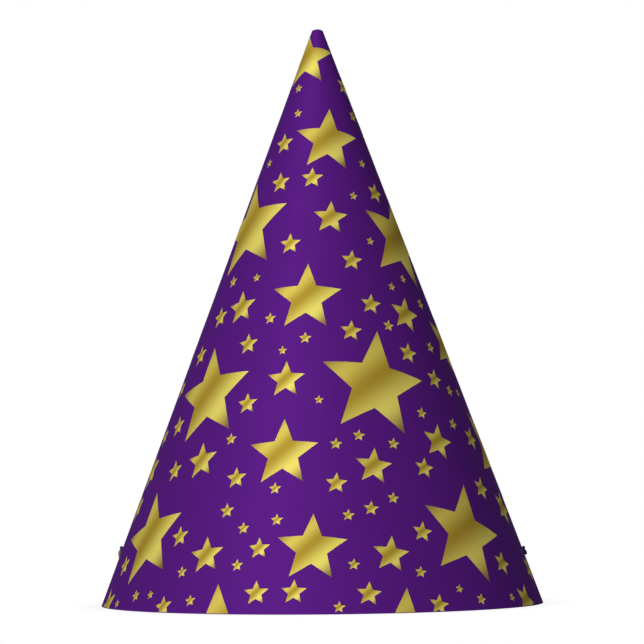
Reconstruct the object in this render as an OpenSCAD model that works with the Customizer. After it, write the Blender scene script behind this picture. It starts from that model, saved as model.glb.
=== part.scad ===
// New year party hat. One sheet of printed card is rolled into a cone, closed
// at the back with a glued lap and pinched shut at the point. Gold stars are
// printed on it, and a knotted elastic cord passes through two punched holes.
// The origin is the middle of the open rim, +Z runs up the cone's axis, and -Y
// is the front. The glued lap is at the back.

/* [Cone] */
// Outside diameter of the open rim
rim_d = 136; // [110:1:160]
// Angle between the cone's axis and its side, in degrees
half_angle = 20.6; // [18:0.1:24]
// Thickness of the card
card_t = 0.4; // [0.3:0.05:0.6]
// Radius of the pinched point at its shoulder
tip_r = 1.7; // [1:0.1:3]
// Height of the rounded end above that shoulder
tip_rise = 0.6; // [0.4:0.1:1]
// Length at the point that is rolled solid
tip_solid = 5; // [3:0.5:12]

/* [Glued lap] */
// Angle about the axis that the lap covers, in degrees
lap_deg = 10; // [6:1:16]
// Angle about the axis over which the lap steps up off the wall, in degrees
lap_step_deg = 1.5; // [1:0.5:3]
// Thickness of the adhesive strip in the lap
strip_t = 0.1; // [0.05:0.05:0.2]
// Angle about the axis that the adhesive strip covers, in degrees
strip_deg = 7; // [4:1:12]

/* [Elastic cord] */
// Diameter of the cord
cord_d = 1.5; // [1:0.1:2]
// Diameter of the holes that the cord goes through
hole_d = 2.4; // [2.1:0.1:3]
// Height of the left hole above the rim
left_hole_z = 16.5; // [12:0.5:24]
// Height of the right hole above the rim
right_hole_z = 15.5; // [12:0.5:24]
// Angle of each hole from the front, about the axis, in degrees
hole_deg = 100; // [90:1:120]
// Outer radius of each of the two loops of a knot
knot_r = 1.6; // [1.4:0.1:2]
// Length of the cut end below a knot
knot_tail = 1.6; // [1:0.1:3]

/* [Gold stars] */
// Thickness of the raised gold ink
ink_t = 0.1; // [0.05:0.05:0.2]
// Radius of a star's inner corners as a share of its outer radius
star_waist = 0.44; // [0.38:0.01:0.5]
// Turn of every star on the flat sheet, in degrees
star_turn = -3; // [-10:1:10]
// Narrow bare edge between the ink and the rim
ink_edge = 0.2; // [0.1:0.1:1]
// Bare card between the ink and the lap's edges, as an angle in degrees
ink_lap_deg = 0.5; // [0.3:0.1:2]
// Bare card round each cord hole
bare_r = 4; // [3:0.5:8]

/* [Hidden] */

cone_fn = 180;
round_fn = 48;
cord_fn = 24;
apex_z = rim_d / 2 / tan(half_angle);
tip_z = apex_z - tip_r / tan(half_angle);
art = rim_d / 136;

// Angle from the lap's edge to the adhesive strip
strip_inset_deg = 0.8;
// Two stars stay this share of their radii apart
star_room = 0.8;
// How far a knot's loops sit up the slope and out of the card
knot_off = 0.3;
// Angle that a knot's loops splay apart
knot_splay_deg = 12;
// How deep the cut end sits in the loops
tail_sink = 0.1;
// How far two solids run into each other where they join
overlap = 0.01;

// Stars as [x, y, radius] on the flat sheet, in millimetres for a 136 mm rim.
// The sheet's point is at 0, 0, the front of the hat runs straight down from
// it, and y is negative. A star is cut where it crosses the rim.
large = [
    [-25.5, -65, 16], [30, -68, 16], [-38, -118, 16], [17, -119.5, 17.5],
    [74, -122, 16], [-62, -158.5, 15.5], [48, -162, 16.5],
    [-33, -197, 16], [25, -199.5, 16]
];
broad = [
    [-4, -13.5, 9.5], [3, -41, 10.5], [-4, -92.5, 11], [52.5, -95, 11],
    [-11.5, -142, 11], [-3, -172.5, 11]
];
medium = [
    [3.5, -66.5, 5.5], [-26, -92, 5.5], [29, -94, 6], [-10.5, -118.5, 6],
    [39, -134, 6], [-39.5, -139.5, 6], [16, -146, 6], [-36.5, -171, 6],
    [21, -173.5, 6], [76.5, -175.5, 6], [73.5, -144, 6], [-71, -131, 6],
    [-86.5, -172, 6]
];
small = [
    [10, -21, 3.5], [-11.5, -40.5, 3.5], [-12.5, -53.5, 3.5], [-2, -53.5, 3.5],
    [20, -55, 3.5], [-9, -74.5, 3.5], [10, -80, 3.5], [-36, -92, 3.5],
    [16, -93.5, 3.5], [-45.5, -101.5, 3.5], [-23, -105, 3.5], [9.5, -103, 3.5],
    [29, -107, 3.5], [40, -112.5, 3.5], [-23, -124.5, 3.5], [-53.5, -123, 3.5],
    [57.5, -126.5, 4], [-52, -139, 3.5], [-26.5, -148, 3.5], [33, -144, 3.5],
    [58.5, -143.5, 4], [4.5, -152, 3.5], [-47, -162.5, 3.5], [31.5, -165, 3.5],
    [64.5, -167, 4], [-77, -162, 3.5], [-19, -171.5, 3.5], [-52.5, -184, 3.5],
    [-20, -185.5, 4], [-8.5, -186, 4], [14, -186.5, 4], [36.5, -187.5, 3.5],
    [-77.5, -141, 4.5], [87, -159.5, 4.5]
];
tiny = [
    [-6.5, -23, 1.5], [-6.5, -31.5, 1.5], [13, -30.5, 2], [-18, -45, 1.5],
    [15, -46.5, 1.5], [11, -58.5, 1.5], [16.5, -72.5, 1.5], [-31, -81.5, 2],
    [-20.5, -83.5, 1.5], [24, -86, 1.5], [29.5, -81.5, 1.5], [38, -87, 2],
    [-15.5, -98, 2], [-4.5, -105.5, 2], [-11.5, -109, 1.5], [22, -99.5, 2],
    [40, -101.5, 2], [48, -113.5, 2], [54.5, -111.5, 1.5], [-0.5, -125.5, 1.5],
    [33, -126, 2], [47, -125.5, 2], [-28.5, -135, 2], [11.5, -136.5, 2],
    [4.5, -139.5, 2], [22.5, -138, 2], [-14, -153, 2], [22, -155.5, 2],
    [8, -162, 2], [-13.5, -163, 2], [-24, -164.5, 2], [-45.5, -174.5, 2],
    [-26, -176, 2], [9.5, -177.5, 2], [30.5, -178, 2], [-66, -176.5, 2],
    [-58.5, -178.5, 1.5], [-77.5, -175, 1.5], [44, -181, 1.5],
    [52.5, -182.5, 2], [67.5, -177.5, 1.5], [-42, -184.5, 2], [5, -191, 2],
    [-29.5, -158, 2.5], [15, -159.5, 2.5], [-58, -107.5, 3], [-65, -121.5, 3],
    [-19, -31.5, 2.5]
];
front = concat(large, broad, medium, small, tiny);

// Points that the cord passes inside the hat, in millimetres for a 136 mm rim,
// from the left hole to the right one. It drops from each hole and lies loosely
// on what the hat stands on.
route = [
    [-57, 10, 15], [-53.5, 8.5, 12.5], [-51.5, 5.5, 8.5], [-50.5, 0.5, 4.5],
    [-50.5, -7, 1.9], [-49, -17, 1], [-44, -28, 0.9], [-35, -37, 0.9],
    [-24, -42, 0.9], [-13, -41, 0.9], [-5, -33, 0.9], [-3, -21, 0.9],
    [-7, -7, 0.9], [-12, 7, 0.9], [-13, 21, 0.9], [-7, 33, 0.9],
    [4, 41, 0.9], [17, 44, 0.9], [30, 42, 0.9], [41, 35, 0.9],
    [48, 26, 1.3], [52, 18.5, 3.3], [53, 13.5, 7], [54, 11, 10.8],
    [57, 10.5, 13.9]
];
rings_per_span = 3;
cord_sides = 8;

// Height and radius of the card's outer face at a hole. side is -1 or 1.
function hole_z(side) = side < 0 ? left_hole_z : right_hole_z;
function hole_r(side) = (apex_z - hole_z(side)) * tan(half_angle);

// A point of the flat sheet, in its place on the outside of the cone, raised
// off the card by lift
function rolled(p, lift = 0) =
    let (slant = norm(p),
         turn = atan2(p.x, -p.y) / sin(half_angle),
         r = slant * sin(half_angle) + lift * cos(half_angle))
    [r * sin(turn), -r * cos(turn),
     apex_z - slant * cos(half_angle) + lift * sin(half_angle)];

// The corners of a star on the flat sheet, with each edge in equal steps
function star_corner(star, i) =
    let (a = 90 + star_turn - 36 * i,
         r = star[2] * (i % 2 == 0 ? 1 : star_waist))
    [star.x + r * cos(a), star.y + r * sin(a)];
function star_outline(star, steps) =
    [for (i = [0:9], k = [0:steps - 1])
        let (a = star_corner(star, i), b = star_corner(star, i + 1))
        a + (b - a) * k / steps];

// The back of the hat carries the front's stars again, moved round the sheet's
// point by half of its fan. One that would touch a star of the front, or lie
// over a cord hole, is left out.
half_fan = 180 * sin(half_angle);
function swung(star) =
    let (side = star.x < 0 ? 1 : -1, a = side * half_fan)
    [star.x * cos(a) - star.y * sin(a), star.x * sin(a) + star.y * cos(a),
     star[2]];
function hole_patch(side) =
    let (slant = (apex_z - hole_z(side)) / cos(half_angle) / art,
         a = side * hole_deg * sin(half_angle))
    [slant * sin(a), -slant * cos(a), bare_r];
kept_clear = concat(front, [hole_patch(-1), hole_patch(1)]);
function gap(a, b) = norm([a.x - b.x, a.y - b.y]) - star_room * (a[2] + b[2]);
function back_of(stars) =
    [for (star = stars)
        let (moved = swung(star))
        if (min([for (other = kept_clear) gap(moved, other)]) > 0) moved];

// A layer of the cone's side, between two heights off the card's outer face
module cone_layer(inner, outer, bottom = 0) {
    difference() {
        lifted_cone(outer, bottom);
        lifted_cone(inner, bottom - 1);
    }
}

// The whole cone up to the point's shoulder, grown by lift off its outer face
module lifted_cone(lift, bottom = 0) {
    grow = lift / cos(half_angle);
    translate([0, 0, bottom])
        cylinder(
            h = tip_z - bottom,
            r1 = rim_d / 2 - bottom * tan(half_angle) + grow,
            r2 = tip_r + grow,
            $fn = cone_fn
        );
}

// A wedge of space about the axis, between two angles from the front, that
// reaches well past the rim
module wedge(from, to) {
    reach = rim_d * 2;
    linear_extrude(height = apex_z * 2, center = true)
        polygon([
            [0, 0],
            [reach * sin(from), -reach * cos(from)],
            [reach * sin(to), -reach * cos(to)]
        ]);
}

// One star: the part of the ink's layer inside a pyramid that stands on the
// axis and goes out through the star's corners
module gold_star(star, steps) {
    slant = norm([star.x, star.y]);
    base = [0, 0, apex_z - slant / cos(half_angle)];
    outline = star_outline(star, steps);
    count = len(outline);
    far = [for (p = concat([[star.x, star.y]], outline)) base + 3 * (rolled(p) - base)];
    intersection() {
        cone_layer(0, ink_t, ink_edge);
        polyhedron(
            points = concat([base], far),
            faces = concat(
                [for (i = [0:count - 1]) [0, 2 + (i + 1) % count, 2 + i]],
                [for (i = [0:count - 1]) [1, 2 + i, 2 + (i + 1) % count]]
            )
        );
    }
}

// A size of star, all round the hat. The sheet's two ends cut the stars of
// their own half, so no star goes on across the lap.
module gold_stars(stars, steps) {
    every = concat(stars, back_of(stars));
    end = 180 - lap_deg / 2 - ink_lap_deg;
    color([0.80, 0.70, 0.30])
        for (side = [-1, 1])
            difference() {
                for (star = every)
                    if (star.x * side > 0) gold_star(star * art, steps);
                wedge(side * end, side * 270);
            }
}

// What is placed here has its origin on the card's outer face at a cord hole,
// with Z straight out of the card and Y up its slope
module at_hole(side) {
    rotate([0, 0, side * hole_deg])
        translate([0, -hole_r(side), hole_z(side)])
            rotate([90 - half_angle, 0, 0])
                children();
}

// The rolled card, with its lap, its solid point and the two cord holes
module card_cone() {
    color([0.30, 0.12, 0.46])
        difference() {
            union() {
                lifted_cone(0);
                rounded_point();
                lap_flap();
            }
            hollow();
            for (side = [-1, 1])
                at_hole(side)
                    cylinder(h = card_t * 10, d = hole_d, center = true, $fn = round_fn);
        }
}

// The space inside the card, up to where the point is rolled solid
module hollow() {
    inset = card_t / cos(half_angle);
    top = tip_z - tip_solid;
    translate([0, 0, -1])
        cylinder(
            h = top + 1,
            r1 = rim_d / 2 + tan(half_angle) - inset,
            r2 = tip_r + tip_solid * tan(half_angle) - inset,
            $fn = cone_fn
        );
}

// The end of the point, a low dome on its shoulder
module rounded_point() {
    ball_r = (tip_r * tip_r + tip_rise * tip_rise) / (2 * tip_rise);
    intersection() {
        translate([0, 0, tip_z + tip_rise - ball_r]) sphere(r = ball_r, $fn = 64);
        translate([-tip_r * 2, -tip_r * 2, tip_z - overlap]) cube(tip_r * 4);
    }
}

// The outer end of the sheet, which steps up off the wall and lies over the
// adhesive strip
module lap_flap() {
    intersection() {
        cone_layer(strip_t, strip_t + card_t);
        wedge(180 - lap_deg / 2, 180 + lap_deg / 2);
    }
    intersection() {
        cone_layer(-card_t / 2, strip_t + card_t);
        wedge(180 + lap_deg / 2 - lap_step_deg, 180 + lap_deg / 2);
    }
}

// The double-sided adhesive strip between the lap and the wall
module seam_adhesive_strip() {
    start = 180 - lap_deg / 2 + strip_inset_deg;
    color([0.85, 0.82, 0.72])
        intersection() {
            cone_layer(0, strip_t, 1);
            wedge(start, start + strip_deg);
        }
}

module large_gold_stars() { gold_stars(large, 3); }
module broad_gold_stars() { gold_stars(broad, 3); }
module medium_gold_stars() { gold_stars(medium, 1); }
module small_gold_stars() { gold_stars(small, 1); }
module tiny_gold_stars() { gold_stars(tiny, 1); }

// A knot outside the card: two loops of the cord side by side, pulled against
// the card, and the cut end below them
module knot(side) {
    color([0.22, 0.08, 0.32])
        difference() {
            at_hole(side) {
                for (x = [-1, 1])
                    translate([x * cord_d / 2, knot_off, knot_off])
                        rotate([0, 90, x * knot_splay_deg])
                            rotate_extrude($fn = round_fn)
                                translate([knot_r - cord_d / 2, 0])
                                    circle(d = cord_d, $fn = cord_fn);
                translate([0, -knot_tail, cord_d / 2 - tail_sink])
                    rotate([-90, 0, 0])
                        cylinder(h = knot_tail, d = cord_d, $fn = cord_fn);
            }
            lifted_cone(0);
        }
}
module left_knot() { knot(-1); }
module right_knot() { knot(1); }

// Where the cord meets a knot, on the card's outer face
function hole_point(side) =
    let (r = hole_r(side))
    [side * r * sin(hole_deg), -r * cos(hole_deg), hole_z(side)];

// A smooth curve through all the given points
function spline(a, b, c, d, t) =
    0.5 * (2 * b + (c - a) * t + (2 * a - 5 * b + 4 * c - d) * t * t
           + (3 * b - a - 3 * c + d) * t * t * t);
function smooth(p, steps) =
    let (n = len(p),
         q = concat([2 * p[0] - p[1]], p, [2 * p[n - 1] - p[n - 2]]))
    concat(
        [for (i = [0:n - 2], k = [0:steps - 1])
            spline(q[i], q[i + 1], q[i + 2], q[i + 3], k / steps)],
        [p[n - 1]]
    );
function unit(v) = v / norm(v);
function cord_ring(line, i) =
    let (last = len(line) - 1,
         along = unit(line[min(i + 1, last)] - line[max(i - 1, 0)]),
         side = unit(cross(along, [0, 0, 1])),
         up = cross(side, along))
    [for (k = [0:cord_sides - 1])
        let (a = 360 * k / cord_sides)
        line[i] + cord_d / 2 * (cos(a) * side + sin(a) * up)];

// The elastic cord between the two knots
module chin_elastic() {
    placed = [for (p = route) [p.x * art, p.y * art, p.z]];
    line = smooth(concat([hole_point(-1)], placed, [hole_point(1)]), rings_per_span);
    rings = len(line);
    n = cord_sides;
    color([0.25, 0.10, 0.38])
        polyhedron(
            points = [for (i = [0:rings - 1]) each cord_ring(line, i)],
            faces = concat(
                [[for (k = [0:n - 1]) k]],
                [for (i = [0:rings - 2], k = [0:n - 1])
                    [i * n + k, (i + 1) * n + k,
                     (i + 1) * n + (k + 1) % n, i * n + (k + 1) % n]],
                [[for (k = [n - 1:-1:0]) (rings - 1) * n + k]]
            )
        );
}

card_cone();
seam_adhesive_strip();
large_gold_stars();
broad_gold_stars();
medium_gold_stars();
small_gold_stars();
tiny_gold_stars();
chin_elastic();
left_knot();
right_knot();
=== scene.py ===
"""Looks of the new year party hat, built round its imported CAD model.

Lengths are in metres, in the CAD model's frame: the origin is the middle of
the open rim, +Z runs up the axis, -Y is the front, and the glued lap is at
the back. A turn is an angle about the axis, from the front and towards +X.
"""

import math

import bmesh
import bpy
from mathutils import Matrix, Vector


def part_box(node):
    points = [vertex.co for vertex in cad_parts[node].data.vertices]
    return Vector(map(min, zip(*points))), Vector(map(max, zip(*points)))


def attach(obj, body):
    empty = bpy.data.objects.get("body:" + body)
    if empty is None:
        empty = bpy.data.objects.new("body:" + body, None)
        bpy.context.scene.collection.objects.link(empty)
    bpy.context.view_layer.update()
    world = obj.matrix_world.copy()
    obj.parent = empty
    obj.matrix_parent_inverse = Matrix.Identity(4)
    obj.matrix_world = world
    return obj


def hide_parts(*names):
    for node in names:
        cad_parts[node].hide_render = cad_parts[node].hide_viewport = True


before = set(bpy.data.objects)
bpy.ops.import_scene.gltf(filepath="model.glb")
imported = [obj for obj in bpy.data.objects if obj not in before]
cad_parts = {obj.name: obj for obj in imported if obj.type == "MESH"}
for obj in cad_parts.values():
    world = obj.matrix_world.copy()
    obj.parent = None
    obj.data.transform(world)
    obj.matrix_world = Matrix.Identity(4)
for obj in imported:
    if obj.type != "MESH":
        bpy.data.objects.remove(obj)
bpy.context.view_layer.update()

MM = 0.001

# ---------------------------------------------------------------- dimensions

# The cone, as in the CAD model
RIM_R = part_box("card_cone")[1].x
HALF_ANGLE = math.radians(20.6)
SIN_A = math.sin(HALF_ANGLE)
COS_A = math.cos(HALF_ANGLE)
APEX_Z = RIM_R / math.tan(HALF_ANGLE)
CARD_T = 0.4 * MM
STRIP_T = 0.1 * MM
TIP_R = 1.7 * MM
TIP_Z = APEX_Z - TIP_R / math.tan(HALF_ANGLE)
TIP_RISE = 0.6 * MM
TIP_SOLID = 5 * MM

# The sheet's outer end lies on the lap from LAP_START, and steps down off it
# from STEP_START to STEP_END in LAP_BENDS bends. Its inner end is under the
# lap. At the point, over the length LAP_PINCH, the lap is pressed down to
# LAP_PRESSED of its height.
LAP_START = math.radians(175)
STEP_START = math.radians(184)
STEP_END = math.radians(188)
SHEET_END = math.radians(360 + 183.5)
LAP_PINCH = 14 * MM
LAP_PRESSED = 0.25
LAP_BENDS = 8

# The cord and its two holes, where -1 is the left one and 1 the right one
CORD_D = 1.5 * MM
HOLE_D = 2.4 * MM
HOLE_Z = {-1: 16.5 * MM, 1: 15.5 * MM}
HOLE_TURN = math.radians(100)

# The printed stars
INK_T = 0.05 * MM
INK_SUNK = 0.03 * MM
STAR_WAIST = 0.44
STAR_TURN = math.radians(-3)
INK_EDGE = 0.2 * MM
STAR_GAP = math.radians(0.3)
GRADIENT_TURN = math.radians(-50)
NEAR_LAP = math.radians(120)

# Stars as (x, y, radius) on the flat sheet, in millimetres. The sheet's point
# is at 0, 0, and the front of the hat runs straight down from it.
LARGE = [
    (-25.5, -65, 16), (30, -68, 16), (-38, -118, 16), (17, -119.5, 17.5),
    (74, -122, 16), (-62, -158.5, 15.5), (48, -162, 16.5),
    (-33, -197, 16), (25, -199.5, 16),
]
BROAD = [
    (-4, -13.5, 9.5), (3, -41, 10.5), (-4, -92.5, 11), (52.5, -95, 11),
    (-11.5, -142, 11), (-3, -172.5, 11),
]
MEDIUM = [
    (3.5, -66.5, 5.5), (-26, -92, 5.5), (29, -94, 6), (-10.5, -118.5, 6),
    (39, -134, 6), (-39.5, -139.5, 6), (16, -146, 6), (-36.5, -171, 6),
    (21, -173.5, 6), (76.5, -175.5, 6), (73.5, -144, 6), (-71, -131, 6),
    (-86.5, -172, 6),
]
SMALL = [
    (10, -21, 3.5), (-11.5, -40.5, 3.5), (-12.5, -53.5, 3.5), (-2, -53.5, 3.5),
    (20, -55, 3.5), (-9, -74.5, 3.5), (10, -80, 3.5), (-36, -92, 3.5),
    (16, -93.5, 3.5), (-45.5, -101.5, 3.5), (-23, -105, 3.5), (9.5, -103, 3.5),
    (29, -107, 3.5), (40, -112.5, 3.5), (-23, -124.5, 3.5), (-53.5, -123, 3.5),
    (57.5, -126.5, 4), (-52, -139, 3.5), (-26.5, -148, 3.5), (33, -144, 3.5),
    (58.5, -143.5, 4), (4.5, -152, 3.5), (-47, -162.5, 3.5), (31.5, -165, 3.5),
    (64.5, -167, 4), (-77, -162, 3.5), (-19, -171.5, 3.5), (-52.5, -184, 3.5),
    (-20, -185.5, 4), (-8.5, -186, 4), (14, -186.5, 4), (36.5, -187.5, 3.5),
    (-77.5, -141, 4.5), (87, -159.5, 4.5),
]
TINY = [
    (-6.5, -23, 1.5), (-6.5, -31.5, 1.5), (13, -30.5, 2), (-18, -45, 1.5),
    (15, -46.5, 1.5), (11, -58.5, 1.5), (16.5, -72.5, 1.5), (-31, -81.5, 2),
    (-20.5, -83.5, 1.5), (24, -86, 1.5), (29.5, -81.5, 1.5), (38, -87, 2),
    (-15.5, -98, 2), (-4.5, -105.5, 2), (-11.5, -109, 1.5), (22, -99.5, 2),
    (40, -101.5, 2), (48, -113.5, 2), (54.5, -111.5, 1.5), (-0.5, -125.5, 1.5),
    (33, -126, 2), (47, -125.5, 2), (-28.5, -135, 2), (11.5, -136.5, 2),
    (4.5, -139.5, 2), (22.5, -138, 2), (-14, -153, 2), (22, -155.5, 2),
    (8, -162, 2), (-13.5, -163, 2), (-24, -164.5, 2), (-45.5, -174.5, 2),
    (-26, -176, 2), (9.5, -177.5, 2), (30.5, -178, 2), (-66, -176.5, 2),
    (-58.5, -178.5, 1.5), (-77.5, -175, 1.5), (44, -181, 1.5),
    (52.5, -182.5, 2), (67.5, -177.5, 1.5), (-42, -184.5, 2), (5, -191, 2),
    (-29.5, -158, 2.5), (15, -159.5, 2.5), (-58, -107.5, 3), (-65, -121.5, 3),
    (-19, -31.5, 2.5),
]
FRONT = LARGE + BROAD + MEDIUM + SMALL + TINY
# Radius of the bare card round a cord hole, in millimetres, and the share of
# their radii that two stars stay apart
BARE_R = 4
STAR_ROOM = 0.8

# The cord's way inside the hat, from the left hole to the right one, in
# millimetres, as in the CAD model
ROUTE = [
    (-57, 10, 15), (-53.5, 8.5, 12.5), (-51.5, 5.5, 8.5), (-50.5, 0.5, 4.5),
    (-50.5, -7, 1.9), (-49, -17, 1), (-44, -28, 0.9), (-35, -37, 0.9),
    (-24, -42, 0.9), (-13, -41, 0.9), (-5, -33, 0.9), (-3, -21, 0.9),
    (-7, -7, 0.9), (-12, 7, 0.9), (-13, 21, 0.9), (-7, 33, 0.9),
    (4, 41, 0.9), (17, 44, 0.9), (30, 42, 0.9), (41, 35, 0.9),
    (48, 26, 1.3), (52, 18.5, 3.3), (53, 13.5, 7), (54, 11, 10.8),
    (57, 10.5, 13.9),
]

# ---------------------------------------------------------------- camera


CAMERA_PLACE = (0.00064, -1.875, 0.08685)
CAMERA_ROLL = math.radians(-0.5)
CAMERA_LENS = 340.3


def place_camera():
    """Level with the hat's middle and far off, as a long lens sees it."""
    camera = bpy.data.objects.new("camera", bpy.data.cameras.new("camera"))
    bpy.context.scene.collection.objects.link(camera)
    camera.data.sensor_width = 36
    camera.data.lens = CAMERA_LENS
    camera.data.clip_start = 0.05
    camera.data.clip_end = 50
    place = Matrix.Translation(CAMERA_PLACE)
    level = Matrix.Rotation(math.radians(90), 4, "X")
    roll = Matrix.Rotation(CAMERA_ROLL, 4, "Z")
    camera.matrix_world = place @ level @ roll
    bpy.context.scene.camera = camera


place_camera()

# ---------------------------------------------------------------- node helpers


def new_material(name):
    """A node material, its Principled shader and a function that adds nodes."""
    material = bpy.data.materials.new(name)
    material.use_nodes = True
    tree = material.node_tree
    shader = tree.nodes["Principled BSDF"]

    def add(kind, links=(), **values):
        made = tree.nodes.new(kind)
        for key, value in values.items():
            if key in made.inputs:
                made.inputs[key].default_value = value
            else:
                setattr(made, key, value)
        for socket, source in links:
            tree.links.new(source, made.inputs[socket])
        return made

    return material, tree, shader, add


def link(tree, source, shader, socket):
    tree.links.new(source, shader.inputs[socket])


def colour_ramp(node, stops):
    """Sets a ramp's stops, given as (position, (r, g, b))."""
    ramp = node.color_ramp
    while len(ramp.elements) > 1:
        ramp.elements.remove(ramp.elements[-1])
    ramp.elements[0].position = stops[0][0]
    ramp.elements[0].color = (*stops[0][1], 1)
    for position, colour in stops[1:]:
        ramp.elements.new(position).color = (*colour, 1)


def linear(r, g, b):
    """Linear colour from 0 to 255 display values."""

    def one(value):
        share = value / 255
        if share <= 0.04045:
            return share / 12.92
        return ((share + 0.055) / 1.055) ** 2.4

    return one(r), one(g), one(b)


# ---------------------------------------------------------------- materials

PURPLE = (0.104, 0.0125, 0.232)
PURPLE_WORN = (0.22, 0.10, 0.36)
PRINT_ROUGH = 0.62
PRINT_METAL = 0.25
PRINT_SHINE = 0.1


def card_tooth(tree, add, shader):
    """The faint tooth of coated card, the same on bare print and on ink."""
    where = add("ShaderNodeTexCoord")
    fine = add(
        "ShaderNodeTexNoise",
        [("Vector", where.outputs["Object"])],
        Scale=3200, Detail=4, Roughness=0.65,
    )
    broad = add(
        "ShaderNodeTexNoise",
        [("Vector", where.outputs["Object"])],
        Scale=90, Detail=2, Roughness=0.5,
    )
    slow = add(
        "ShaderNodeBump",
        [("Height", broad.outputs["Fac"])],
        Strength=0.25, Distance=0.1 * MM,
    )
    tooth = add(
        "ShaderNodeBump",
        [("Height", fine.outputs["Fac"]), ("Normal", slow.outputs["Normal"])],
        Strength=0.5, Distance=0.04 * MM,
    )
    link(tree, tooth.outputs["Normal"], shader, "Normal")
    return where, broad


def printed_purple():
    """Purple ink on satin coated card, a little rubbed along the open rim."""
    material, tree, shader, add = new_material("printed_purple")
    where, broad = card_tooth(tree, add, shader)
    split = add("ShaderNodeSeparateXYZ", [("Vector", where.outputs["Object"])])
    near_rim = add(
        "ShaderNodeMapRange",
        [("Value", split.outputs["Z"])],
        **{"From Min": 0.0, "From Max": 0.5 * MM, "To Min": 1.0, "To Max": 0.0},
    )
    scuffs = add(
        "ShaderNodeTexNoise",
        [("Vector", where.outputs["Object"])],
        Scale=700, Detail=4, Roughness=0.7,
    )
    spots = add(
        "ShaderNodeMapRange",
        [("Value", scuffs.outputs["Fac"])],
        **{"From Min": 0.55, "From Max": 0.7},
    )
    worn = add(
        "ShaderNodeMath",
        [(0, near_rim.outputs[0]), (1, spots.outputs[0])],
        operation="MULTIPLY",
    )
    tone = add(
        "ShaderNodeMapRange",
        [("Value", broad.outputs["Fac"])],
        **{"From Min": 0.3, "From Max": 0.7, "To Min": 0.975, "To Max": 1.025},
    )
    ink = add(
        "ShaderNodeVectorMath",
        [("Scale", tone.outputs[0])],
        operation="SCALE",
    )
    ink.inputs[0].default_value = PURPLE
    colour = add(
        "ShaderNodeMix",
        [("Factor", worn.outputs[0])],
        data_type="RGBA",
    )
    tree.links.new(ink.outputs["Vector"], colour.inputs["A"])
    colour.inputs["B"].default_value = (*PURPLE_WORN, 1)
    link(tree, colour.outputs["Result"], shader, "Base Color")
    shader.inputs["Roughness"].default_value = PRINT_ROUGH
    shader.inputs["Metallic"].default_value = PRINT_METAL
    shader.inputs["Specular IOR Level"].default_value = PRINT_SHINE
    shader.inputs["Specular Tint"].default_value = (0.5, 0.2, 1.0, 1)
    return material


def bare_card(name, colour, contrast):
    """Uncoated card, with short fibres that show as a soft mottle."""
    material, tree, shader, add = new_material(name)
    where = add("ShaderNodeTexCoord")
    stretch = add(
        "ShaderNodeMapping",
        [("Vector", where.outputs["Object"])],
        Scale=(900, 900, 350),
    )
    fibres = add(
        "ShaderNodeTexNoise",
        [("Vector", stretch.outputs["Vector"])],
        Scale=1.0, Detail=5, Roughness=0.65, Distortion=0.8,
    )
    ramp = add("ShaderNodeValToRGB", [("Fac", fibres.outputs["Fac"])])
    dark = tuple(c * (1 - contrast) for c in colour)
    colour_ramp(ramp, [(0.35, dark), (0.6, colour)])
    link(tree, ramp.outputs["Color"], shader, "Base Color")
    bump = add(
        "ShaderNodeBump",
        [("Height", fibres.outputs["Fac"])],
        Strength=0.5, Distance=0.03 * MM,
    )
    link(tree, bump.outputs["Normal"], shader, "Normal")
    shader.inputs["Roughness"].default_value = 0.85
    shader.inputs["Specular IOR Level"].default_value = 0.2
    return material


# The gold print's tones, as display values in full light. Each star has them
# from its upper left point, at -1, to its lower right one, at 1: brown ends,
# and two light bands with a deeper gold between them.
GOLD_BROWN = (130, 95, 60)
GOLD_LIGHT = (220, 200, 90)
GOLD_DEEP = (180, 150, 50)
GOLD_BRIGHT = (240, 225, 110)
GOLD_TONES = [
    (-1.0, GOLD_BROWN), (-0.5, GOLD_LIGHT), (-0.1, GOLD_DEEP),
    (0.45, GOLD_BRIGHT), (1.0, GOLD_BROWN),
]


def gold_print():
    """Gold ink whose tone runs across each star, like a printed sheen."""
    material, tree, shader, add = new_material("gold_print")
    card_tooth(tree, add, shader)
    across = add("ShaderNodeAttribute", attribute_name="across")
    share = add(
        "ShaderNodeMapRange",
        [("Value", across.outputs["Fac"])],
        **{"From Min": -1.0, "From Max": 1.0},
    )
    ramp = add("ShaderNodeValToRGB", [("Fac", share.outputs[0])])
    colour_ramp(ramp, [((at + 1) / 2, linear(*tone)) for at, tone in GOLD_TONES])
    ramp.color_ramp.interpolation = "EASE"
    link(tree, ramp.outputs["Color"], shader, "Base Color")
    shader.inputs["Roughness"].default_value = PRINT_ROUGH
    shader.inputs["Metallic"].default_value = PRINT_METAL
    shader.inputs["Specular IOR Level"].default_value = PRINT_SHINE
    shader.inputs["Specular Tint"].default_value = (1.0, 0.9, 0.4, 1)
    return material


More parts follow.
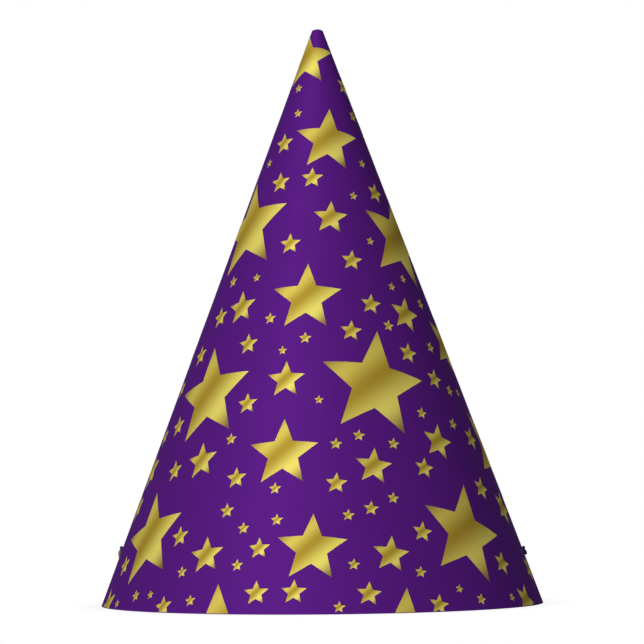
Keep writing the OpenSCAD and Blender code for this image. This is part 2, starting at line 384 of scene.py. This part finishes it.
def elastic_yarn(name, colour, dark):
    """The cord's braided cover. The braid's own shape is in the mesh; its colour has painted
    shade in the grooves between strands, over a random fibre tone.
    """
    material, tree, shader, add = new_material(name)
    where = add("ShaderNodeTexCoord")
    fuzz = add(
        "ShaderNodeTexNoise",
        [("Vector", where.outputs["Object"])],
        Scale=9000, Detail=3, Roughness=0.7,
    )
    depth = add("ShaderNodeAttribute", attribute_name="braid")
    both = add(
        "ShaderNodeMath",
        [(0, depth.outputs["Fac"]), (1, fuzz.outputs["Fac"])],
        operation="MULTIPLY",
    )
    # Braid height times fibre noise picks the colour: dark, painted shade, in the grooves
    # between strands, the yarn's colour on the strand tops.
    ramp = add("ShaderNodeValToRGB", [("Fac", both.outputs[0])])
    colour_ramp(ramp, [(0.08, dark), (0.45, colour)])
    link(tree, ramp.outputs["Color"], shader, "Base Color")
    bump = add(
        "ShaderNodeBump",
        [("Height", fuzz.outputs["Fac"])],
        Strength=0.6, Distance=0.05 * MM,
    )
    link(tree, bump.outputs["Normal"], shader, "Normal")
    shader.inputs["Roughness"].default_value = 0.8
    shader.inputs["Specular IOR Level"].default_value = 0.2
    shader.inputs["Sheen Weight"].default_value = 0.08
    return material


def rubber_core():
    """The tan rubber threads that show at a cut end of the cord."""
    material, tree, shader, add = new_material("rubber_core")
    where = add("ShaderNodeTexCoord")
    grain = add(
        "ShaderNodeTexNoise",
        [("Vector", where.outputs["Object"])],
        Scale=3000, Detail=2,
    )
    ramp = add("ShaderNodeValToRGB", [("Fac", grain.outputs["Fac"])])
    colour_ramp(ramp, [(0.3, (0.20, 0.13, 0.05)), (0.7, (0.42, 0.31, 0.14))])
    link(tree, ramp.outputs["Color"], shader, "Base Color")
    shader.inputs["Roughness"].default_value = 0.7
    return material


def adhesive_tape():
    """Pale double-sided tape with small trapped bubbles. The lap hides it."""
    material, tree, shader, add = new_material("adhesive_tape")
    where = add("ShaderNodeTexCoord")
    bubbles = add(
        "ShaderNodeTexVoronoi",
        [("Vector", where.outputs["Object"])],
        Scale=900,
    )
    ramp = add("ShaderNodeValToRGB", [("Fac", bubbles.outputs["Distance"])])
    colour_ramp(ramp, [(0.05, (0.85, 0.84, 0.78)), (0.3, (0.62, 0.58, 0.46))])
    link(tree, ramp.outputs["Color"], shader, "Base Color")
    shader.inputs["Roughness"].default_value = 0.35
    return material


# ---------------------------------------------------------------- the cone


def on_cone(slant, turn, lift=0.0):
    """A point of the card's outer face, raised off it by lift."""
    r = slant * SIN_A + lift * COS_A
    z = APEX_Z - slant * COS_A + lift * SIN_A
    return Vector((r * math.sin(turn), -r * math.cos(turn), z))


def eased(share):
    share = min(1.0, max(0.0, share))
    return share * share * (3 - 2 * share)


def sheet_lift(turn, slant):
    """How far the sheet's outer face is off the cone, from LAP_START on. The
    lap is pressed almost flat where the point is pinched."""
    down = eased((turn - STEP_START) / (STEP_END - STEP_START))
    loose = eased((slant - TIP_R / SIN_A) / LAP_PINCH)
    pressed = LAP_PRESSED + (1 - LAP_PRESSED) * loose
    return (STRIP_T + CARD_T) * (1 - down) * pressed


def steps(start, end, count):
    """count equal steps from start, without the end itself."""
    return [start + (end - start) * i / count for i in range(count)]


def mesh_object(name, points, faces, materials, slots=None):
    """A mesh object from points and faces, sharp at its edges."""
    mesh = bpy.data.meshes.new(name)
    mesh.from_pydata([tuple(p) for p in points], [], faces)
    for material in materials:
        mesh.materials.append(material)
    if slots:
        mesh.polygons.foreach_set("material_index", slots)
    mesh.polygons.foreach_set("use_smooth", [True] * len(faces))
    mesh.update()
    mesh.set_sharp_from_angle(angle=math.radians(40))
    made = bpy.data.objects.new(name, mesh)
    bpy.context.scene.collection.objects.link(made)
    return made


OUTSIDE, INSIDE, EDGE = 0, 1, 2
SHEET_ROWS = 80
PATCH = 2


class SheetMesh:
    """The rolled sheet, as a grid on each of its two faces."""

    def __init__(self):
        self.turns = (
            steps(LAP_START, STEP_START, 6)
            + steps(STEP_START, STEP_END, LAP_BENDS)
            + steps(STEP_END, SHEET_END, 158)
            + [SHEET_END]
        )
        self.points = []
        self.faces = []
        self.slots = []
        self.holes = [self.patch(side) for side in (-1, 1)]
        for face_of in (OUTSIDE, INSIDE):
            for row in range(SHEET_ROWS + 1):
                for turn in self.turns:
                    self.points.append(self.place(face_of, row, turn))
        self.walls()
        self.edges()
        for hole in self.holes:
            self.punch(hole)

    def place(self, face_of, row, turn):
        depth = CARD_T if face_of == INSIDE else 0
        top = TIP_R / SIN_A
        rim = (APEX_Z + (sheet_lift(turn, APEX_Z) - depth) * SIN_A) / COS_A
        slant = top + (rim - top) * row / SHEET_ROWS
        return on_cone(slant, turn, sheet_lift(turn, slant) - depth)

    def index(self, face_of, row, column):
        width = len(self.turns)
        return (face_of * (SHEET_ROWS + 1) + row) * width + column

    def add(self, corners, slot):
        self.faces.append(corners)
        self.slots.append(slot)

    def patch(self, side):
        """The middle grid point and the exact place of a cord hole."""
        turn = HOLE_TURN if side > 0 else 2 * math.pi - HOLE_TURN
        turn = turn + 2 * math.pi if turn < LAP_START else turn
        slant = (APEX_Z - HOLE_Z[side]) / COS_A
        top = TIP_R / SIN_A
        row = round((slant - top) / (APEX_Z / COS_A - top) * SHEET_ROWS)
        column = min(range(len(self.turns)), key=lambda i: abs(self.turns[i] - turn))
        return row, column, slant, turn

    def in_patch(self, row, column):
        return any(
            r - PATCH <= row < r + PATCH and c - PATCH <= column < c + PATCH
            for r, c, _, _ in self.holes
        )

    def walls(self):
        for row in range(SHEET_ROWS):
            for column in range(len(self.turns) - 1):
                if self.in_patch(row, column):
                    continue
                for face_of in (OUTSIDE, INSIDE):
                    a = self.index(face_of, row, column)
                    b = self.index(face_of, row + 1, column)
                    corners = [a, b, b + 1, a + 1]
                    if face_of == INSIDE:
                        corners.reverse()
                    self.add(corners, face_of)

    def edges(self):
        """The cut edges: the rim, the top and the sheet's two ends."""
        last = len(self.turns) - 1
        for column in range(last):
            for row, flip in ((0, True), (SHEET_ROWS, False)):
                a = self.index(OUTSIDE, row, column)
                b = self.index(INSIDE, row, column)
                corners = [a, b, b + 1, a + 1]
                self.add(corners[::-1] if flip else corners, EDGE)
        for row in range(SHEET_ROWS):
            for column, flip in ((0, False), (last, True)):
                a = self.index(OUTSIDE, row, column)
                b = self.index(INSIDE, row, column)
                c = self.index(INSIDE, row + 1, column)
                d = self.index(OUTSIDE, row + 1, column)
                corners = [a, b, c, d]
                self.add(corners[::-1] if flip else corners, EDGE)

    def punch(self, hole):
        """Closes the grid round a punched hole, on both faces and through."""
        row, column, slant, turn = hole
        down = [(row - PATCH + i, column - PATCH) for i in range(2 * PATCH)]
        right = [(row + PATCH, column - PATCH + i) for i in range(2 * PATCH)]
        up = [(row + PATCH - i, column + PATCH) for i in range(2 * PATCH)]
        left = [(row - PATCH, column + PATCH - i) for i in range(2 * PATCH)]
        ring = down + right + up + left
        count = len(ring)
        circles = []
        for face_of in (OUTSIDE, INSIDE):
            lift = 0 if face_of == OUTSIDE else -CARD_T
            middle = on_cone(slant, turn, lift)
            down_slope = on_cone(slant + MM, turn, lift) - middle
            across = Vector((math.cos(turn), math.sin(turn), 0))
            circle = []
            for r, c in ring:
                grid = self.points[self.index(face_of, r, c)] - middle
                angle = math.atan2(grid.dot(across), grid.dot(down_slope.normalized()))
                away = HOLE_D / 2
                s = slant + away * math.cos(angle)
                t = turn + away * math.sin(angle) / (s * SIN_A)
                circle.append(len(self.points))
                self.points.append(on_cone(s, t, lift))
            circles.append(circle)
            for i in range(count):
                j = (i + 1) % count
                a = self.index(face_of, *ring[i])
                b = self.index(face_of, *ring[j])
                corners = [a, b, circle[j], circle[i]]
                if face_of == OUTSIDE:
                    corners.reverse()
                self.add(corners, face_of)
        for i in range(count):
            j = (i + 1) % count
            corners = [circles[0][i], circles[0][j], circles[1][j], circles[1][i]]
            self.add(corners[::-1], EDGE)


def add_pinched_point(sheet):
    """The rolled end of the point: a low dome with pinch folds and a dimple."""
    folds = 5
    sides = 40
    fold_depth = 0.07
    fold_rise = 0.05 * MM
    inner = TIP_R + TIP_SOLID * math.tan(HALF_ANGLE) - CARD_T * 0.7
    bottom = TIP_Z - TIP_SOLID
    profile = [
        (inner * 0.5, bottom, 0), (inner, bottom, 0),
        (TIP_R - 0.12 * MM, TIP_Z - 0.3 * MM, 0),
        (TIP_R, TIP_Z - 0.02 * MM, 0),
        (TIP_R * 0.97, TIP_Z + TIP_RISE * 0.22, 0.3),
        (TIP_R * 0.86, TIP_Z + TIP_RISE * 0.52, 0.7),
        (TIP_R * 0.66, TIP_Z + TIP_RISE * 0.82, 1),
        (TIP_R * 0.45, TIP_Z + TIP_RISE * 0.98, 1),
        (TIP_R * 0.26, TIP_Z + TIP_RISE * 0.92, 1),
        (TIP_R * 0.12, TIP_Z + TIP_RISE * 0.45, 1),
    ]
    first = len(sheet.points)
    for level, (r, z, folded) in enumerate(profile):
        for k in range(sides):
            turn = 2 * math.pi * k / sides
            wave = math.cos(folds * turn + 0.5 * level)
            wide = r * (1 + fold_depth * folded * wave)
            rise = fold_rise * folded * math.sin(2 * turn + 1)
            height = z + rise - fold_rise * folded
            place = (wide * math.sin(turn), -wide * math.cos(turn), height)
            sheet.points.append(Vector(place))
    for level in range(len(profile) - 1):
        slot = INSIDE if level == 0 else OUTSIDE
        for k in range(sides):
            a = first + level * sides + k
            b = first + level * sides + (k + 1) % sides
            sheet.add([a, b, b + sides, a + sides], slot)
    sheet.add([first + k for k in range(sides)][::-1], INSIDE)
    last = first + (len(profile) - 1) * sides
    sheet.add([last + k for k in range(sides)], OUTSIDE)


def make_card():
    sheet = SheetMesh()
    add_pinched_point(sheet)
    materials = [
        printed_purple(),
        bare_card("card_inside", (0.78, 0.77, 0.74), 0.10),
        bare_card("card_cut_edge", (0.70, 0.68, 0.66), 0.15),
    ]
    return mesh_object("card_sheet", sheet.points, sheet.faces, materials, sheet.slots)


# ---------------------------------------------------------------- the stars

HALF_FAN = math.pi * SIN_A
# A star's mesh has from MIN_RINGS to MAX_RINGS rings, as fine as the cone's
# curve needs: a ring is FINEST millimetres wide, or BEND of its slant if more
MIN_RINGS = 2
MAX_RINGS = 9
FINEST = 0.5
BEND = 0.022


def swung(star):
    """A star of the front, moved round the sheet's point by half its fan."""
    x, y, r = star
    a = HALF_FAN if x < 0 else -HALF_FAN
    return x * math.cos(a) - y * math.sin(a), x * math.sin(a) + y * math.cos(a), r


def hole_patch(side):
    slant = (APEX_Z - HOLE_Z[side]) / COS_A / MM
    a = side * HOLE_TURN * SIN_A
    return slant * math.sin(a), -slant * math.cos(a), BARE_R


KEPT_CLEAR = FRONT + [hole_patch(-1), hole_patch(1)]


def gap(a, b):
    return math.hypot(a[0] - b[0], a[1] - b[1]) - STAR_ROOM * (a[2] + b[2])


def with_back(stars):
    """The stars of the front, and those of them that the back has room for."""
    moved = [swung(star) for star in stars]
    return stars + [m for m in moved if min(gap(m, other) for other in KEPT_CLEAR) > 0]


def star_corner(star, i):
    a = math.radians(90 - 36 * i) + STAR_TURN
    r = star[2] * (1 if i % 2 == 0 else STAR_WAIST)
    return star[0] + r * math.cos(a), star[1] + r * math.sin(a)


def flat_star(star, rings):
    """A star's points and triangles on the flat sheet, ring by ring."""
    points = [(star[0], star[1])]
    for k in range(1, rings + 1):
        for i in range(10):
            a, b = star_corner(star, i), star_corner(star, i + 1)
            for j in range(k):
                x = a[0] + (b[0] - a[0]) * j / k
                y = a[1] + (b[1] - a[1]) * j / k
                share = k / rings
                points.append((star[0] + (x - star[0]) * share, star[1] + (y - star[1]) * share))
    faces = []
    for k in range(1, rings + 1):
        outer, inner = 1 + 5 * k * (k - 1), 1 + 5 * (k - 1) * (k - 2)
        for i in range(10):
            for j in range(k):
                a = outer + i * k + j
                b = outer + (i * k + j + 1) % (10 * k)
                if k == 1:
                    faces.append((a, b, 0))
                    continue
                c = inner + (i * (k - 1) + j) % (10 * (k - 1))
                faces.append((a, b, c))
                if j > 0:
                    d = inner + i * (k - 1) + j - 1
                    faces.append((a, c, d))
    return points, faces


def cut_plane(bm, place, normal, drop):
    """Cuts a mesh with a plane, and drops what is past it if drop is true."""
    whole = bm.verts[:] + bm.edges[:] + bm.faces[:]
    bmesh.ops.bisect_plane(
        bm, geom=whole, plane_co=place, plane_no=normal, clear_outer=drop, dist=1e-7
    )


def cut_flat(part, turn, past):
    """Cuts a flat star along a line of the sheet at that turn. What is past
    the line is dropped where past is -1 or 1, and kept where it is 0."""
    a = turn * SIN_A
    normal = Vector((math.cos(a), math.sin(a), 0)) * (past or 1)
    cut_plane(part, (0, 0, 0), normal, past != 0)


def add_star(bm, star, layer):
    """One printed star: a thin closed shell that follows the sheet."""
    middle = math.atan2(star[0], -star[1]) / SIN_A
    slant = math.hypot(star[0], star[1])
    wanted = math.ceil(star[2] / max(FINEST, BEND * slant))
    rings = max(MIN_RINGS, min(MAX_RINGS, wanted))
    flat, faces = flat_star(star, rings)
    part = bmesh.new()
    made = [part.verts.new((x * MM, y * MM, 0)) for x, y in flat]
    for corners in faces:
        part.faces.new([made[i] for i in corners])
    # The sheet's two ends cut the stars, and the step in the lap bends them
    if middle > NEAR_LAP:
        cut_flat(part, LAP_START - STAR_GAP, 1)
    if middle < -NEAR_LAP:
        cut_flat(part, LAP_START - 2 * math.pi + STAR_GAP, -1)
        for bend in [*steps(STEP_START, STEP_END, LAP_BENDS), STEP_END]:
            cut_flat(part, bend - 2 * math.pi, 0)
    for v in part.verts:
        v.co = on_cone(math.hypot(v.co.x, v.co.y), math.atan2(v.co.x, -v.co.y) / SIN_A)
    cut_plane(part, (0, 0, INK_EDGE), (0, 0, -1), True)
    finish_star(bm, part, star, layer)
    part.free()


def finish_star(bm, part, star, layer):
    """Lays a cut star on the sheet, gives it thickness and adds it to bm."""
    middle = math.atan2(star[0], -star[1]) / SIN_A
    top, low = {}, {}
    for v in part.verts:
        turn = math.atan2(v.co.x, -v.co.y)
        turn += 2 * math.pi * round((middle - turn) / (2 * math.pi))
        slant = (APEX_Z - v.co.z) / COS_A
        lift = sheet_lift(turn + 2 * math.pi, slant) if turn < 0 else 0
        x = slant / MM * math.sin(turn * SIN_A) - star[0]
        y = -slant / MM * math.cos(turn * SIN_A) - star[1]
        along = x * math.cos(GRADIENT_TURN) + y * math.sin(GRADIENT_TURN)
        for side, height in ((top, INK_T), (low, -INK_SUNK)):
            side[v] = bm.verts.new(on_cone(slant, turn, lift + height))
            side[v][layer] = along / star[2]
    for f in part.faces:
        bm.faces.new([top[v] for v in f.verts])
        bm.faces.new([low[v] for v in reversed(f.verts)])
    for e in part.edges:
        if len(e.link_faces) == 1:
            loop = e.link_loops[0]
            a, b = loop.vert, loop.link_loop_next.vert
            bm.faces.new([low[a], low[b], top[b], top[a]])


def make_stars(name, stars, material):
    bm = bmesh.new()
    layer = bm.verts.layers.float.new("across")
    for star in with_back(stars):
        add_star(bm, star, layer)
    bmesh.ops.recalc_face_normals(bm, faces=bm.faces)
    mesh = bpy.data.meshes.new(name)
    bm.to_mesh(mesh)
    bm.free()
    mesh.materials.append(material)
    mesh.polygons.foreach_set("use_smooth", [True] * len(mesh.polygons))
    mesh.set_sharp_from_angle(angle=math.radians(40))
    made = bpy.data.objects.new(name, mesh)
    bpy.context.scene.collection.objects.link(made)
    return made


# ---------------------------------------------------------------- the cord


def spline(a, b, c, d, t):
    return 0.5 * (
        2 * b + (c - a) * t + (2 * a - 5 * b + 4 * c - d) * t * t
        + (3 * b - a - 3 * c + d) * t * t * t
    )


def smooth(points, count):
    """A curve through all the points, count steps to each span."""
    ends = [2 * points[0] - points[1], *points, 2 * points[-1] - points[-2]]
    line = []
    for i in range(len(points) - 1):
        for k in range(count):
            line.append(spline(ends[i], ends[i + 1], ends[i + 2], ends[i + 3], k / count))
    return [*line, points[-1]]


def evenly(line, step):
    """The line again, with its points about step apart."""
    total = sum((b - a).length for a, b in zip(line, line[1:]))
    count = max(2, round(total / step))
    spaced, walked, i = [line[0]], 0.0, 0
    for k in range(1, count):
        target = total * k / count
        while walked + (line[i + 1] - line[i]).length < target:
            walked += (line[i + 1] - line[i]).length
            i += 1
        share = (target - walked) / (line[i + 1] - line[i]).length
        spaced.append(line[i].lerp(line[i + 1], share))
    return [*spaced, line[-1]]


def hole_point(side):
    return on_cone((APEX_Z - HOLE_Z[side]) / COS_A, side * HOLE_TURN)


# How far apart the rings of the cord's and the knots' tubes are
CORD_STEP = 0.16 * MM
KNOT_STEP = 0.08 * MM
BRAID_SIDES = 42
BRAID_STRANDS = 6
BRAID_LENGTH = 0.95 * MM
BRAID_DEPTH = 0.13 * MM
# How fast a strand falls away across it and along it
STRAND_ACROSS = 2.6
STRAND_ALONG = 1.2
# The bare core's radius as a share of the cord's, and its rubber threads
CORE_SHARE = 0.82
THREAD_SHARE = 0.07
CORE_THREADS = 7


def braid_height(a, walked):
    """How far a braid stands up, from 0 to 1, at angle a round the cord. Two
    families of strands wind opposite ways, and take turns to lie on top."""
    first = BRAID_STRANDS * a / (2 * math.pi) + walked / BRAID_LENGTH
    second = BRAID_STRANDS * a / (2 * math.pi) - walked / BRAID_LENGTH
    on_top = (math.floor(first) + math.floor(second)) % 2 == 0
    across = (first if on_top else second) % 1 - 0.5
    along = (second if on_top else first) % 1 - 0.5
    return 1 - STRAND_ACROSS * across * across - STRAND_ALONG * along * along


def braided_tube(bm, line, radius, layer, bare=0.0):
    """A tube along a line, with a braid's crossing strands. The cover stops
    short of the line's end by the length bare, where the core shows."""
    total = sum((b - a).length for a, b in zip(line, line[1:]))
    side = None
    rings = []
    walked = 0.0
    for i, place in enumerate(line):
        ahead = line[min(i + 1, len(line) - 1)] - line[max(i - 1, 0)]
        along = ahead.normalized()
        if side is None:
            side = along.cross(Vector((0, 0, 1)))
        side = (side - side.dot(along) * along).normalized()
        up = side.cross(along)
        if i:
            walked += (place - line[i - 1]).length
        cored = total - walked < bare
        ring = []
        for k in range(BRAID_SIDES):
            a = 2 * math.pi * k / BRAID_SIDES
            height = braid_height(a, walked)
            r = radius - BRAID_DEPTH * (1 - height)
            if cored:
                r = radius * (CORE_SHARE + THREAD_SHARE * math.cos(CORE_THREADS * a))
            v = bm.verts.new(place + (side * math.cos(a) + up * math.sin(a)) * r)
            # The height is also what the cover's material reads to paint shade into the braid's
            # grooves.
            v[layer] = height
            ring.append(v)
        rings.append((ring, cored))
    for (a, _), (b, cored) in zip(rings, rings[1:]):
        for k in range(BRAID_SIDES):
            j = (k + 1) % BRAID_SIDES
            made = bm.faces.new([a[k], b[k], b[j], a[j]])
            made.material_index = 1 if cored else 0
    for ring in (rings[0][0], rings[-1][0][::-1]):
        bm.faces.new(ring).material_index = 1


def braid_object(name, bm, materials):
    bmesh.ops.recalc_face_normals(bm, faces=bm.faces)
    mesh = bpy.data.meshes.new(name)
    bm.to_mesh(mesh)
    bm.free()
    for material in materials:
        mesh.materials.append(material)
    mesh.polygons.foreach_set("use_smooth", [True] * len(mesh.polygons))
    mesh.set_sharp_from_angle(angle=math.radians(50))
    made = bpy.data.objects.new(name, mesh)
    bpy.context.scene.collection.objects.link(made)
    return made


def make_cord(yarn, core):
    points = [hole_point(-1), *[Vector(p) * MM for p in ROUTE], hole_point(1)]
    line = evenly(smooth(points, 12), CORD_STEP)
    bm = bmesh.new()
    layer = bm.verts.layers.float.new("braid")
    braided_tube(bm, line, CORD_D / 2, layer)
    return braid_object("chin_cord", bm, [yarn, core]), line


def at_hole(side):
    """The frame at a hole: Z straight out of the card, Y up its slope."""
    turn = Matrix.Rotation(side * HOLE_TURN, 4, "Z")
    tilt = Matrix.Rotation(math.radians(90) - HALF_ANGLE, 4, "X")
    return Matrix.Translation(hole_point(side)) @ turn @ tilt


# A knot's curve is scaled by KNOT_SCALE, moved up the slope by KNOT_RISE, and
# lies KNOT_OUT off the card, give or take KNOT_DEPTH, all in millimetres
KNOT_SCALE = 0.42
KNOT_RISE = -0.35
KNOT_OUT = 1.0
KNOT_DEPTH = 0.4
KNOT_CORD_R = 0.58 * MM
# The way of a cut end, down from its knot, in millimetres in the hole's frame.
# The right knot's end is cut short after its first two points.
CUT_END = [(-0.15, -1.25, 1.4), (0, -1.7, 1.3), (0.05, -2.15, 1.05), (0.05, -2.6, 0.75)]
CUT_POINTS = {-1: 4, 1: 2}


def knot_line(side):
    """The line of a tight overhand knot, in its hole's frame: out of the
    hole, round the knot's three loops, and down as a cut end."""
    line = [(0, 0.1, -0.6), (0, -0.1, -0.1), (0.1, -0.5, 0.3)]
    for t in steps(math.radians(210), math.radians(512), 36):
        x = math.sin(t) + 2 * math.sin(2 * t)
        y = math.cos(t) - 2 * math.cos(2 * t)
        out = KNOT_OUT + KNOT_DEPTH * math.sin(3 * t)
        line.append((x * KNOT_SCALE, y * KNOT_SCALE + KNOT_RISE, out))
    line += CUT_END[:CUT_POINTS[side]]
    return [Vector((side * x, y, z)) * MM for x, y, z in line]


def make_knot(side, name, yarn, core, bare):
    line = evenly(smooth(knot_line(side), 4), KNOT_STEP)
    place = at_hole(side)
    bm = bmesh.new()
    layer = bm.verts.layers.float.new("braid")
    braided_tube(bm, [place @ p for p in line], KNOT_CORD_R, layer, bare)
    return braid_object(name, bm, [yarn, core])


# ---------------------------------------------------------------- stage

WHITE = (1, 1, 1, 1)
WORLD_LIGHT = 0.17
FLOOR_LIT = 0.35
SHADE_REACH = 14 * MM
DARKEST_SHADE = 0.86
FLOOR_INNER_R = RIM_R - 1.5 * MM
FLOOR_OUTER_R = 6
FLOOR_Z = -0.02 * MM
HAT_MIDDLE = Vector((0, 0, 0.08))


def floor_material():
    """White to the camera, with a faint shade where something stands on it,
    see-through from below, and only as bright as lit to the object."""
    material = bpy.data.materials.new("floor")
    material.use_nodes = True
    tree = material.node_tree
    tree.nodes.clear()
    out = tree.nodes.new("ShaderNodeOutputMaterial")
    path = tree.nodes.new("ShaderNodeLightPath")
    facing = tree.nodes.new("ShaderNodeNewGeometry")
    clear = tree.nodes.new("ShaderNodeBsdfTransparent")
    pale = tree.nodes.new("ShaderNodeBsdfDiffuse")
    pale.inputs["Color"].default_value = (FLOOR_LIT, FLOOR_LIT, FLOOR_LIT, 1)
    near = tree.nodes.new("ShaderNodeAmbientOcclusion")
    near.samples = 16
    near.inputs["Distance"].default_value = SHADE_REACH
    shade = tree.nodes.new("ShaderNodeMapRange")
    shade.inputs["From Min"].default_value = 0.5
    shade.inputs["From Max"].default_value = 0.98
    shade.inputs["To Min"].default_value = DARKEST_SHADE
    shade.inputs["To Max"].default_value = 1.0
    glow = tree.nodes.new("ShaderNodeEmission")
    glow.inputs["Color"].default_value = WHITE
    seen = tree.nodes.new("ShaderNodeMixShader")
    both = tree.nodes.new("ShaderNodeMixShader")
    tree.links.new(near.outputs["AO"], shade.inputs["Value"])
    tree.links.new(shade.outputs["Result"], glow.inputs["Strength"])
    tree.links.new(path.outputs["Is Camera Ray"], seen.inputs[0])
    tree.links.new(pale.outputs[0], seen.inputs[1])
    tree.links.new(glow.outputs[0], seen.inputs[2])
    tree.links.new(facing.outputs["Backfacing"], both.inputs[0])
    tree.links.new(seen.outputs[0], both.inputs[1])
    tree.links.new(clear.outputs[0], both.inputs[2])
    tree.links.new(both.outputs[0], out.inputs["Surface"])
    return material


def make_floor():
    """A wide round floor, open under the hat, so that the hat's inside is lit
    and can be seen from below."""
    sides = 96
    points = []
    for radius in (FLOOR_INNER_R, FLOOR_OUTER_R):
        for a in steps(0, 2 * math.pi, sides):
            points.append((radius * math.cos(a), radius * math.sin(a), FLOOR_Z))
    faces = []
    for k in range(sides):
        j = (k + 1) % sides
        faces.append((k, sides + k, sides + j, j))
    mesh = bpy.data.meshes.new("floor")
    mesh.from_pydata(points, [], faces)
    mesh.materials.append(floor_material())
    floor = bpy.data.objects.new("floor", mesh)
    bpy.context.scene.collection.objects.link(floor)


def area_light(name, turn, elevation, away, size, power):
    """A soft box that looks at the hat's middle."""
    data = bpy.data.lights.new(name, "AREA")
    data.shape = "SQUARE"
    data.size = size
    data.energy = power
    light = bpy.data.objects.new(name, data)
    bpy.context.scene.collection.objects.link(light)
    a, e = math.radians(turn), math.radians(elevation)
    out = Vector((math.sin(a) * math.cos(e), -math.cos(a) * math.cos(e), math.sin(e)))
    light.location = HAT_MIDDLE + out * away
    light.rotation_euler = out.to_track_quat("Z", "Y").to_euler()


def make_world():
    world = bpy.data.worlds.new("studio")
    world.use_nodes = True
    tree = world.node_tree
    soft = tree.nodes["Background"]
    soft.inputs["Color"].default_value = WHITE
    soft.inputs["Strength"].default_value = WORLD_LIGHT
    seen = tree.nodes.new("ShaderNodeBackground")
    seen.inputs["Color"].default_value = WHITE
    seen.inputs["Strength"].default_value = 1.0
    path = tree.nodes.new("ShaderNodeLightPath")
    both = tree.nodes.new("ShaderNodeMixShader")
    tree.links.new(path.outputs["Is Camera Ray"], both.inputs[0])
    tree.links.new(soft.outputs[0], both.inputs[1])
    tree.links.new(seen.outputs[0], both.inputs[2])
    tree.links.new(both.outputs[0], tree.nodes["World Output"].inputs["Surface"])
    bpy.context.scene.world = world


# ---------------------------------------------------------------- the hat

# How much of each cut end has lost its cover
LEFT_BARE = 2.3 * MM
RIGHT_BARE = 0.15 * MM

gold = gold_print()
# The cover's second colour is the painted shade in the braid's grooves.
cover = elastic_yarn("cord_cover", (0.075, 0.018, 0.15), (0.012, 0.003, 0.03))
core = rubber_core()

cord, cord_line = make_cord(cover, core)
left_knot = make_knot(-1, "left_cord_knot", cover, core, LEFT_BARE)
right_knot = make_knot(1, "right_cord_knot", cover, core, RIGHT_BARE)
card = make_card()
prints = {
    size + "_gold_stars": make_stars(size + "_star_print", stars, gold)
    for size, stars in (
        ("large", LARGE), ("broad", BROAD), ("medium", MEDIUM),
        ("small", SMALL), ("tiny", TINY),
    )
}

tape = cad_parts["seam_adhesive_strip"]
tape.data.materials.clear()
tape.data.materials.append(adhesive_tape())

for piece, slot, node in (
    (card, "printed_card", "card_cone"),
    (cord, "elastic", "chin_elastic"),
    (left_knot, "elastic", "left_knot"),
    (right_knot, "elastic", "right_knot"),
    *((piece, "gold_ink", node) for node, piece in prints.items()),
):
    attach(piece, "root")
    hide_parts(node)

make_floor()
make_world()
area_light("key", -27, 22, 1.6, 0.7, 19.5)
area_light("right_fill", 75, 10, 1.6, 0.8, 1.6)
area_light("back_fill", 180, 6, 1.6, 0.4, 6)
area_light("under_fill", 0, -65, 1.2, 0.6, 6)
bpy.context.scene.view_settings.view_transform = "Standard"
